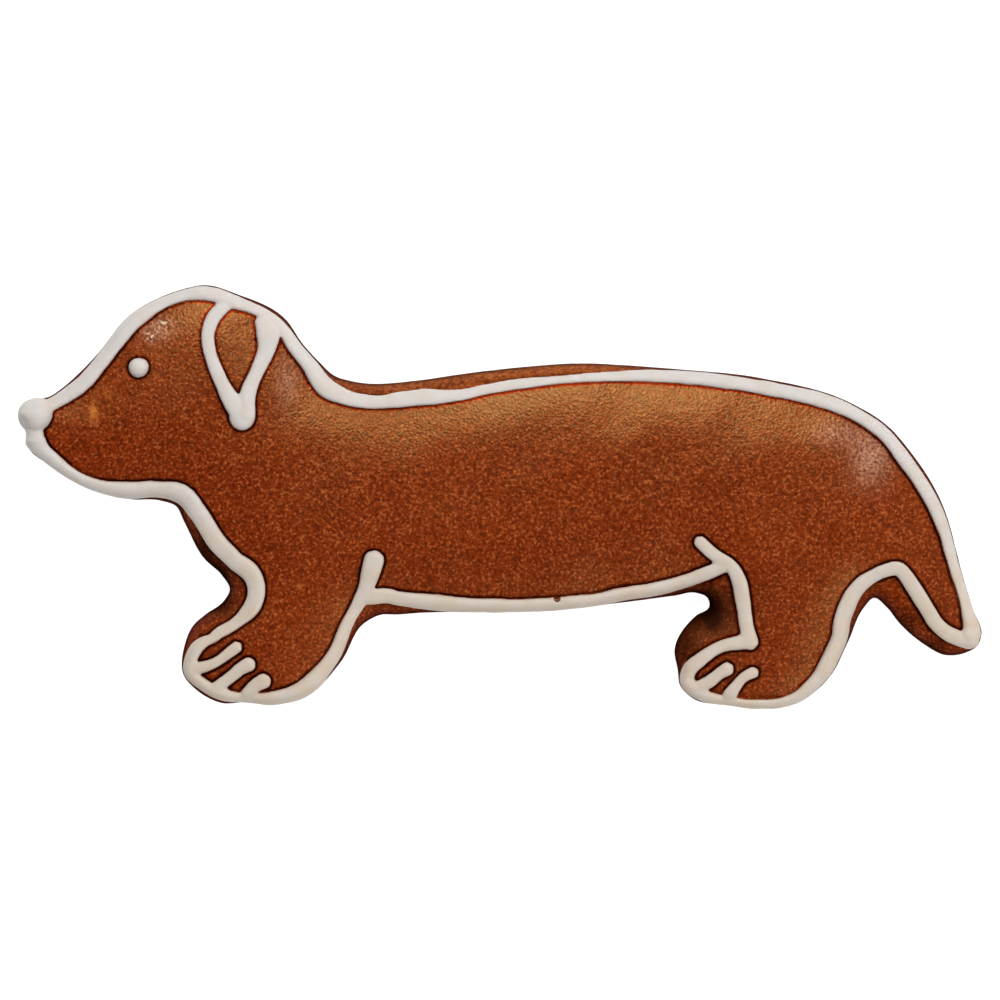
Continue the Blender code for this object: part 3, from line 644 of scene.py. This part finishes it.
def roundDrop(x, y, radius, height):
    # rings of a low dome: reach = cos(t)^p and crown = c + (1 - c) sin(t), over a foot on the crust
    turn = np.arange(dropShape["around"]) * 2 * np.pi / dropShape["around"]
    centre = np.array([[x, y, topHeight(np.array([[x, y]]))[0]]])
    up = leanOf(centre)
    rise = np.linspace(0, np.pi / 2, dropShape["rings"])[:-1]
    reach = np.concatenate([dropShape["footReach"], np.cos(rise) ** dropShape["reachPower"]])
    dome = dropShape["leastCrown"] + (1 - dropShape["leastCrown"]) * np.sin(rise)
    crown = np.concatenate([np.zeros(len(dropShape["footReach"])), dome])
    wave = 1 + sum(share * np.sin(count * turn + start) for count, start, share in dropShape["lobes"])
    outline = radius * np.column_stack([wave * np.cos(turn), wave * np.sin(turn)])
    rows = []
    for k in range(len(reach)):
        base = (x, y) + reach[k] * outline
        base = np.column_stack([base, topHeight(base)])
        direction = np.tile(up, (len(base), 1))
        rows.append(base + (bedded(base, direction) + crown[k] * height)[:, None] * direction)
    foot = centre + bedded(centre, up)[:, None] * up
    points = np.concatenate(rows + [foot + height * up, foot])
    around = dropShape["around"]
    quads = stripFaces(len(reach), around)
    i = np.arange(around)
    j = (i + 1) % around
    top, bottom = np.full(around, len(points) - 2), np.full(around, len(points) - 1)
    last = (len(reach) - 1) * around
    caps = np.concatenate([np.stack([last + i, top, last + j], axis=1), np.stack([i, j, bottom], axis=1)])
    return outward(points, np.concatenate([halves(quads), caps]))


def fused(shells):
    # voxel remesh of all shells together, then rounds of edge averaging that swell back as they shrink
    points = np.concatenate([shell[0] for shell in shells])
    starts = np.cumsum([0] + [len(shell[0]) for shell in shells[:-1]])
    faces = np.concatenate([shell[1] + start for shell, start in zip(shells, starts)])
    mesh = bpy.data.meshes.new("rough icing")
    mesh.from_pydata(points.tolist(), [], faces.tolist())
    rough = bpy.data.objects.new("rough icing", mesh)
    bpy.context.scene.collection.objects.link(rough)
    remesh = rough.modifiers.new("voxels", "REMESH")
    remesh.mode = "VOXEL"
    remesh.voxel_size = piped["voxel"]
    done = rough.evaluated_get(bpy.context.evaluated_depsgraph_get()).data
    count = len(done.vertices)
    points = np.empty(count * 3, np.float32)
    done.vertices.foreach_get("co", points)
    points = points.reshape(-1, 3).astype(float)
    quads = np.empty(len(done.loops), np.int32)
    done.loops.foreach_get("vertex_index", quads)
    quads = quads.reshape(-1, 4)
    edges = np.empty(len(done.edges) * 2, np.int32)
    done.edges.foreach_get("vertices", edges)
    edges = edges.reshape(-1, 2)
    bpy.data.objects.remove(rough, do_unlink=True)
    degree = np.bincount(edges.ravel(), minlength=count)[:, None]
    for k in range(2 * piped["smoothRounds"]):
        total = np.zeros_like(points)
        np.add.at(total, edges[:, 0], points[edges[:, 1]])
        np.add.at(total, edges[:, 1], points[edges[:, 0]])
        share = piped["shrink"] if k % 2 == 0 else piped["swellBack"]
        points += share * (total / degree - points)
    return points, quads


def icingRelief(points):
    # coarse swellings with finer ones on them
    coarse, fine = (
        smoothNoise(points, size, randomLattice(seed))
        for size, seed in zip(piped["swellSizes"], piped["swellSeeds"])
    )
    return piped["swell"] * (coarse + piped["swellFine"] * fine)


def finishIcing(name, points, quads):
    # the relief moves points along their normals; a burst bubble is a dent, depth * (1 - (d / radius)^2)
    points = points + vertexNormals(points, halves(quads)) * icingRelief(points)[:, None]
    inBubble = np.zeros(len(points))
    for x, y, radius, depth in bubbles:
        distance = np.hypot(points[:, 0] - x, points[:, 1] - y)
        share = np.maximum(1 - (distance / radius) ** 2, 0.0)
        points[:, 2] -= depth * share
        inBubble = np.maximum(inBubble, share)
    # painted shadow: the icing's foot darkened where it meets the crust, not near the cookie's edge
    foot = np.clip(1 - clearance(points) / piped["footReach"], 0.0, 1.0)
    inside = measured(points[:, :2])[0]
    foot *= np.clip((inside - piped["rimFree"]) / piped["rimFade"], 0.0, 1.0)
    return newPiece(name, points, quads, np.empty((0, 3), int), {"bubble": inBubble, "foot": foot})


overTheBack = alongEdge(sampleOf("muzzle"), sampleOf("tail", last=True))
hindPaw = alongEdge(sampleOf("hindLeg"), sampleOf("hindLeg", last=True))
underBelly = alongEdge(sampleOf("belly"), sampleOf("belly", last=True))
legToChin = alongEdge(sampleOf("frontLeg"), sampleOf("chin", last=True))
paths = [
    overTheBack,
    np.concatenate([tailTurn, hindPaw, knee]),
    thigh,
    np.concatenate([flank, underBelly, armpit]),
    np.concatenate([breast, legToChin]),
    earFront,
    earBack,
    *toes,
]
lines = [centreLine(path, piped["firstSeed"] + k) for k, path in enumerate(paths)]

paintedShadowLine = dict(  # the painted shadow on the crust beside the icing, a dark line
    corner=(-70.0, -32.0),
    cell=0.1,
    cells=(1400, 640),
    reach=0.45,
    strength=2.6,
    rimFree=1.3,  # none so near the cookie's edge
    rimFade=0.6,
)


def footprint(points):
    # grid over the cookie that is 1 where icing stands and falls to 0 at `reach` from it
    cells = np.round((points[:, :2] - paintedShadowLine["corner"]) / paintedShadowLine["cell"]).astype(int)
    stands = np.zeros(paintedShadowLine["cells"])
    stands[cells[:, 0], cells[:, 1]] = 1.0
    near = stands.copy()
    wide = int(paintedShadowLine["reach"] / paintedShadowLine["cell"])
    for i, j in np.ndindex(2 * wide + 1, 2 * wide + 1):
        distance = np.hypot(i - wide, j - wide) * paintedShadowLine["cell"]
        if 0 < distance < paintedShadowLine["reach"]:
            shifted = np.roll(stands, (i - wide, j - wide), axis=(0, 1))
            near = np.maximum(near, (1 - distance / paintedShadowLine["reach"]) * shifted)
    return near


def nearness(points):
    # the footprint grid read with bilinear weights
    place = (points[:, :2] - paintedShadowLine["corner"]) / paintedShadowLine["cell"]
    cell = np.floor(place).astype(int)
    t = place - cell
    value = np.zeros(len(points))
    for i, j in np.ndindex(2, 2):
        weight = np.abs(1 - i - t[:, 0]) * np.abs(1 - j - t[:, 1])
        value += weight * nearIcing[cell[:, 0] + i, cell[:, 1] + j]
    return value


def paintedShadowBesideIcing(points):
    # the painted shadow beside the icing: the nearness made steeper, and none on the cookie's rim
    offRim = (measured(points[:, :2])[0] - paintedShadowLine["rimFree"]) / paintedShadowLine["rimFade"]
    return np.clip(nearness(points) * paintedShadowLine["strength"], 0.0, 1.0) * np.clip(offRim, 0.0, 1.0)


print("icing")
shells = [bead(line) for line in lines] + [roundDrop(*drops["nose"]), roundDrop(*drops["ear"])]
icingPoints, icingQuads = fused(shells)
eyePoints, eyeQuads = fused([roundDrop(*drops["eye"])])
icing = finishIcing("piped_icing", icingPoints, icingQuads)
print("icing triangles", trianglesOf(icing))
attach(icing, "root")
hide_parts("icing")

eye = finishIcing("icing_eye_drop", eyePoints, eyeQuads)
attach(eye, "root")
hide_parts("icing_eye")

nearIcing = footprint(np.concatenate([icingPoints, eyePoints]))

print("biscuit")
biscuit = makeBiscuit()
print("biscuit triangles", trianglesOf(biscuit))
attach(biscuit, "root")
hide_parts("biscuit")

# Four numbers are a range: from, to, and what these two become.
# Three numbers for a noise are its size in metres, its detail and its roughness.
crustLook = dict(
    dark=(0.075, 0.004, 0.0002),
    brown=(0.210, 0.020, 0.0010),
    light=(0.42, 0.100, 0.026),
    # tan colour of the lighter patches and of the painted light over the back
    tanAndPaintedLight=(0.50, 0.145, 0.018),
    # near-black brown of the painted shade
    paintedShade=(0.024, 0.004, 0.0015),
    # pale colour of the painted sheen on the glaze spots
    glazeAndPaintedSheen=(0.56, 0.31, 0.20),
    # whitish colour of the painted glints
    paintedGlint=(0.80, 0.62, 0.48),
    # dark brown of the painted shade at the cookie's edge
    rim=(0.050, 0.006, 0.0015),
    # near-black brown of the painted shadow beside the icing
    paintedShadowBesideIcing=(0.050, 0.004, 0.0005),
    cellSize=0.00038,
    grain=(0.00038, 1.0, 0.6),
    crumb=(0.00060, 2.0, 0.6),
    patch=(1 / 110, 2.0, 0.5),
    patchDarkens=(0.3, 0.7, 0.0, 0.3),
    crumbDarkens=(0.52, 0.34, 0.0, 0.8),
    grainDarkens=(0.47, 0.27, 0.0, 0.85),
    grainLightens=(0.53, 0.76, 0.0, 0.95),
    grainTans=(0.40, 0.60, 0.0, 1.0),
    crumbTans=(0.38, 0.62, 0.3, 1.3),
    grainGlazes=(0.30, 0.66, 0.15, 0.9),
    grainGlints=(0.50, 0.60, 0.0, 1.0),
    rimDarkens=0.8,
    shadeDulls=0.8,
    rimDulls=0.6,
    roughness=(0.35, 0.65, 0.29, 0.35),
    glazeSmooths=(-1.0, 1.0, 0.14, -0.09),
    shadeRoughens=(0.0, 1.0, 0.0, 0.3),
    specular=0.52,
    specularTint=(1.0, 0.60, 0.20),
    bump=0.16,
    bumpDepth=0.0002,
)
icingLook = dict(
    white=(0.640, 0.600, 0.570),
    warm=(0.610, 0.505, 0.400),
    bubble=(0.10, 0.02, 0.006),
    # dark brown of the painted shadow at the icing's foot
    foot=(0.40, 0.19, 0.10),
    patch=(1 / 420, 2.0, 0.5),
    powder=(1 / 2600, 2.0, 0.5),
    patchWarms=(0.35, 0.70, 0.0, 0.5),
    lowDownWarms=(0.008, -0.016, -0.15, 0.55),  # along Y; painted warm bounce light from the crust, warmer low down
    bubbleShows=(0.15, 0.55, 0.0, 1.0),
    roughness=0.55,
    specular=0.25,
    bump=0.08,
    bumpDepth=0.0002,
    lightInside=0.6,
    lightTravels=(1.0, 0.85, 0.7),
    lightDepth=0.0007,
)


def nodesOf(material):
    material.use_nodes = True
    tree = material.node_tree
    return tree, tree.nodes["Principled BSDF"]


def noiseNode(tree, size, detail, roughness):
    # a soft noise field in Object coordinates, whose features are about the size, in metres
    place = tree.nodes.new("ShaderNodeTexCoord")
    noise = tree.nodes.new("ShaderNodeTexNoise")
    noise.inputs["Scale"].default_value = 1 / size
    noise.inputs["Detail"].default_value = detail
    noise.inputs["Roughness"].default_value = roughness
    tree.links.new(place.outputs["Object"], noise.inputs["Vector"])
    return noise.outputs["Fac"]


def cellNode(tree, size):
    # sand-like cells: the distance from the middle of each
    place = tree.nodes.new("ShaderNodeTexCoord")
    cells = tree.nodes.new("ShaderNodeTexVoronoi")
    cells.inputs["Scale"].default_value = 1 / size
    tree.links.new(place.outputs["Object"], cells.inputs["Vector"])
    return cells.outputs["Distance"]


def rangeNode(tree, value, low, high, toLow, toHigh):
    # the value carried from one range to another and held there
    node = tree.nodes.new("ShaderNodeMapRange")
    node.inputs["From Min"].default_value = low
    node.inputs["From Max"].default_value = high
    node.inputs["To Min"].default_value = toLow
    node.inputs["To Max"].default_value = toHigh
    tree.links.new(value, node.inputs["Value"])
    return node.outputs["Result"]


def mixNode(tree, factor, first, second):
    # blends two colours; each may be a fixed colour or another node's output
    node = tree.nodes.new("ShaderNodeMix")
    node.data_type = "RGBA"
    tree.links.new(factor, node.inputs["Factor"])
    for socket, colour in ((node.inputs[6], first), (node.inputs[7], second)):
        if isinstance(colour, tuple):
            socket.default_value = (*colour, 1.0)
        else:
            tree.links.new(colour, socket)
    return node.outputs[2]


def sumNode(tree, first, second):
    # the sum, held between 0 and 1
    node = tree.nodes.new("ShaderNodeMath")
    node.use_clamp = True
    tree.links.new(first, node.inputs[0])
    tree.links.new(second, node.inputs[1])
    return node.outputs[0]


def timesNode(tree, first, second):
    node = tree.nodes.new("ShaderNodeMath")
    node.operation = "MULTIPLY"
    tree.links.new(first, node.inputs[0])
    if isinstance(second, float):
        node.inputs[1].default_value = second
    else:
        tree.links.new(second, node.inputs[1])
    return node.outputs[0]


def markNode(tree, name):
    # one of the piece's own marks
    node = tree.nodes.new("ShaderNodeAttribute")
    node.attribute_name = name
    return node.outputs["Fac"]


def bumpNode(tree, height, strength, distance):
    node = tree.nodes.new("ShaderNodeBump")
    node.inputs["Strength"].default_value = strength
    node.inputs["Distance"].default_value = distance
    tree.links.new(height, node.inputs["Height"])
    return node.outputs["Normal"]


def crustMaterial():
    # brown with soft lighter and darker grain of about 0.4 mm over slow patches, then the marks: tan
    # patches and painted light, painted shade, a glaze with a painted sheen, painted glints, the painted
    # shadow beside the icing and painted shade at the edge
    look = crustLook
    material = bpy.data.materials.new("gingerbreadCrust")
    tree, shader = nodesOf(material)
    grain = noiseNode(tree, *look["grain"])
    crumb = noiseNode(tree, *look["crumb"])
    patch = noiseNode(tree, *look["patch"])
    tanAndPaintedLight, paintedShade, glazeAndPaintedSheen = markNode(tree, "tanAndPaintedLight"), markNode(tree, "paintedShade"), markNode(tree, "glazeAndPaintedSheen")
    beside, rim = markNode(tree, "paintedShadowBesideIcing"), markNode(tree, "rim")

    colour = mixNode(tree, rangeNode(tree, patch, *look["patchDarkens"]), look["brown"], look["dark"])
    colour = mixNode(tree, rangeNode(tree, crumb, *look["crumbDarkens"]), colour, look["dark"])
    colour = mixNode(tree, rangeNode(tree, grain, *look["grainDarkens"]), colour, look["dark"])
    colour = mixNode(tree, rangeNode(tree, grain, *look["grainLightens"]), colour, look["light"])
    # tan spots: lighter patches of crust, and painted light on the strip over the back
    tanned = mixNode(tree, rangeNode(tree, grain, *look["grainTans"]), look["light"], look["tanAndPaintedLight"])
    patchy = timesNode(tree, tanAndPaintedLight, rangeNode(tree, crumb, *look["crumbTans"]))
    colour = mixNode(tree, patchy, colour, tanned)
    # painted shade by the legs and under the tail
    colour = mixNode(tree, paintedShade, colour, look["paintedShade"])
    # painted sheen on the glaze spots
    glossy = timesNode(tree, glazeAndPaintedSheen, rangeNode(tree, grain, *look["grainGlazes"]))
    colour = mixNode(tree, glossy, colour, look["glazeAndPaintedSheen"])
    # painted glints on the head
    glints = timesNode(tree, markNode(tree, "paintedGlint"), rangeNode(tree, grain, *look["grainGlints"]))
    colour = mixNode(tree, glints, colour, look["paintedGlint"])
    # painted shadow beside the icing
    colour = mixNode(tree, beside, colour, look["paintedShadowBesideIcing"])
    # painted shade at the cookie's edge
    colour = mixNode(tree, timesNode(tree, rim, look["rimDarkens"]), colour, look["rim"])
    tree.links.new(colour, shader.inputs["Base Color"])

    rough = rangeNode(tree, crumb, *look["roughness"])
    rough = sumNode(tree, rough, rangeNode(tree, glazeAndPaintedSheen, *look["glazeSmooths"]))
    rough = sumNode(tree, rough, rangeNode(tree, paintedShade, *look["shadeRoughens"]))
    tree.links.new(rough, shader.inputs["Roughness"])

    # the painted shadow beside the icing, the painted shade and the painted shade at the edge lose their
    # highlight, as a metal of a dark colour reflects only that colour
    dull = sumNode(tree, beside, timesNode(tree, paintedShade, look["shadeDulls"]))
    dull = sumNode(tree, dull, timesNode(tree, rim, look["rimDulls"]))
    tree.links.new(dull, shader.inputs["Metallic"])
    shader.inputs["Specular IOR Level"].default_value = look["specular"]
    shader.inputs["Specular Tint"].default_value = (*look["specularTint"], 1.0)
    sand = bumpNode(tree, cellNode(tree, look["cellSize"]), look["bump"], look["bumpDepth"])
    tree.links.new(sand, shader.inputs["Normal"])
    return material


def icingMaterial():
    # dried sugar paste: matte off-white, warmer in slow patches and low down, where the warmth is painted
    # bounce light from the crust, with a powder-fine bump
    look = icingLook
    material = bpy.data.materials.new("royalIcing")
    tree, shader = nodesOf(material)
    patch = noiseNode(tree, *look["patch"])
    powder = noiseNode(tree, *look["powder"])
    place = tree.nodes.new("ShaderNodeTexCoord")
    split = tree.nodes.new("ShaderNodeSeparateXYZ")
    tree.links.new(place.outputs["Object"], split.inputs["Vector"])
    # painted warm bounce light: warmer low down, along Y
    lowDown = rangeNode(tree, split.outputs["Y"], *look["lowDownWarms"])
    warmth = sumNode(tree, lowDown, rangeNode(tree, patch, *look["patchWarms"]))
    colour = mixNode(tree, warmth, look["white"], look["warm"])
    burst = rangeNode(tree, markNode(tree, "bubble"), *look["bubbleShows"])
    colour = mixNode(tree, burst, colour, look["bubble"])
    # painted shadow at the icing's foot
    colour = mixNode(tree, markNode(tree, "foot"), colour, look["foot"])
    tree.links.new(colour, shader.inputs["Base Color"])
    shader.inputs["Roughness"].default_value = look["roughness"]
    shader.inputs["Specular IOR Level"].default_value = look["specular"]
    shader.inputs["Subsurface Weight"].default_value = look["lightInside"]
    shader.inputs["Subsurface Radius"].default_value = look["lightTravels"]
    shader.inputs["Subsurface Scale"].default_value = look["lightDepth"]
    tree.links.new(bumpNode(tree, powder, look["bump"], look["bumpDepth"]), shader.inputs["Normal"])
    return material


print("materials")
biscuit.data.materials.append(crustMaterial())
royalIcing = icingMaterial()
icing.data.materials.append(royalIcing)
eye.data.materials.append(royalIcing)

studio = dict(
    frameWidth=135.0,  # millimetres of the picture's width at the height of the crust's top
    crustTop=5.0,
    cameraHeight=900.0,
    pictureMiddle=(0.0, -0.54),  # in the edge table's own millimetres
    sensor=36.0,
    floorHalf=1.5,
    floorColour=(0.35, 0.35, 0.35),
    floorRoughness=0.9,
    floorSpecular=0.1,
    floorGlow=0.95,
    softboxes=(  # name, watts, diameter, degrees off upright, compass heading with 0 towards the back
        ("softKey", 5.3, 0.34, 32.0, 0.0),
        ("softFill", 3.4, 0.50, 45.0, 135.0),
    ),
    softboxDistance=0.9,
    skyTowards=(0.25, 0.60, 0.76),  # where the sky is brightest
    skyBrightens=(-0.6, 1.0, 0.02, 0.46),  # cosine of the angle to there, and the strength
    zenithDims=(0.80, 0.96, 1.0, 0.2),  # how steeply up, and the share that is left
    white=(1.0, 1.0, 1.0, 1.0),
    farthest=10.0,
)


def addFloor():
    # a pale floor that glows almost white, as the photo's does
    half = studio["floorHalf"]
    mesh = bpy.data.meshes.new("floor")
    corners = [(-half, -half, 0), (half, -half, 0), (half, half, 0), (-half, half, 0)]
    mesh.from_pydata(corners, [], [(0, 1, 2, 3)])
    floor = bpy.data.objects.new("floor", mesh)
    bpy.context.scene.collection.objects.link(floor)
    material = bpy.data.materials.new("paleFloor")
    _, shader = nodesOf(material)
    shader.inputs["Base Color"].default_value = (*studio["floorColour"], 1.0)
    shader.inputs["Roughness"].default_value = studio["floorRoughness"]
    shader.inputs["Emission Color"].default_value = studio["white"]
    shader.inputs["Emission Strength"].default_value = studio["floorGlow"]
    shader.inputs["Specular IOR Level"].default_value = studio["floorSpecular"]
    mesh.materials.append(material)
    floor.visible_glossy = False


def addSoftboxes():
    # each lamp faces the cookie from its tilt and heading
    for name, watts, diameter, tilt, heading in studio["softboxes"]:
        light = bpy.data.lights.new(name, "AREA")
        light.energy = watts
        light.shape = "DISK"
        light.size = diameter
        box = bpy.data.objects.new(name, light)
        tilt, heading = np.radians(tilt), np.radians(heading)
        away = Vector((np.sin(tilt) * np.sin(heading), np.sin(tilt) * np.cos(heading), np.cos(tilt)))
        box.location = away * studio["softboxDistance"]
        box.rotation_euler = away.to_track_quat("Z", "Y").to_euler()
        bpy.context.scene.collection.objects.link(box)


def addSky():
    # bright towards the back, dark towards the front and overhead
    sky = bpy.data.worlds.new("studioSky")
    sky.use_nodes = True
    tree = sky.node_tree
    direction = tree.nodes.new("ShaderNodeTexCoord")
    facing = tree.nodes.new("ShaderNodeVectorMath")
    facing.operation = "DOT_PRODUCT"
    facing.inputs[1].default_value = studio["skyTowards"]
    tree.links.new(direction.outputs["Generated"], facing.inputs[0])
    brightness = rangeNode(tree, facing.outputs["Value"], *studio["skyBrightens"])
    split = tree.nodes.new("ShaderNodeSeparateXYZ")
    tree.links.new(direction.outputs["Generated"], split.inputs["Vector"])
    dimmed = timesNode(tree, brightness, rangeNode(tree, split.outputs["Z"], *studio["zenithDims"]))
    tree.links.new(dimmed, tree.nodes["Background"].inputs["Strength"])
    tree.nodes["Background"].inputs["Color"].default_value = studio["white"]
    bpy.context.scene.world = sky


def addCamera():
    # straight down; focal length = sensor * distance / width of the picture
    lens = bpy.data.cameras.new("camera")
    lens.sensor_width = studio["sensor"]
    distance = studio["cameraHeight"] - studio["crustTop"]
    lens.lens = studio["sensor"] * distance / studio["frameWidth"]
    lens.clip_end = studio["farthest"]
    camera = bpy.data.objects.new("camera", lens)
    middle = np.array(studio["pictureMiddle"]) + shiftToFrame
    camera.location = (middle[0] * mm, middle[1] * mm, studio["cameraHeight"] * mm)
    bpy.context.scene.collection.objects.link(camera)
    bpy.context.scene.camera = camera
    bpy.context.scene.view_settings.view_transform = "Standard"


print("floor, light and camera")
addFloor()
addSoftboxes()
addSky()
addCamera()
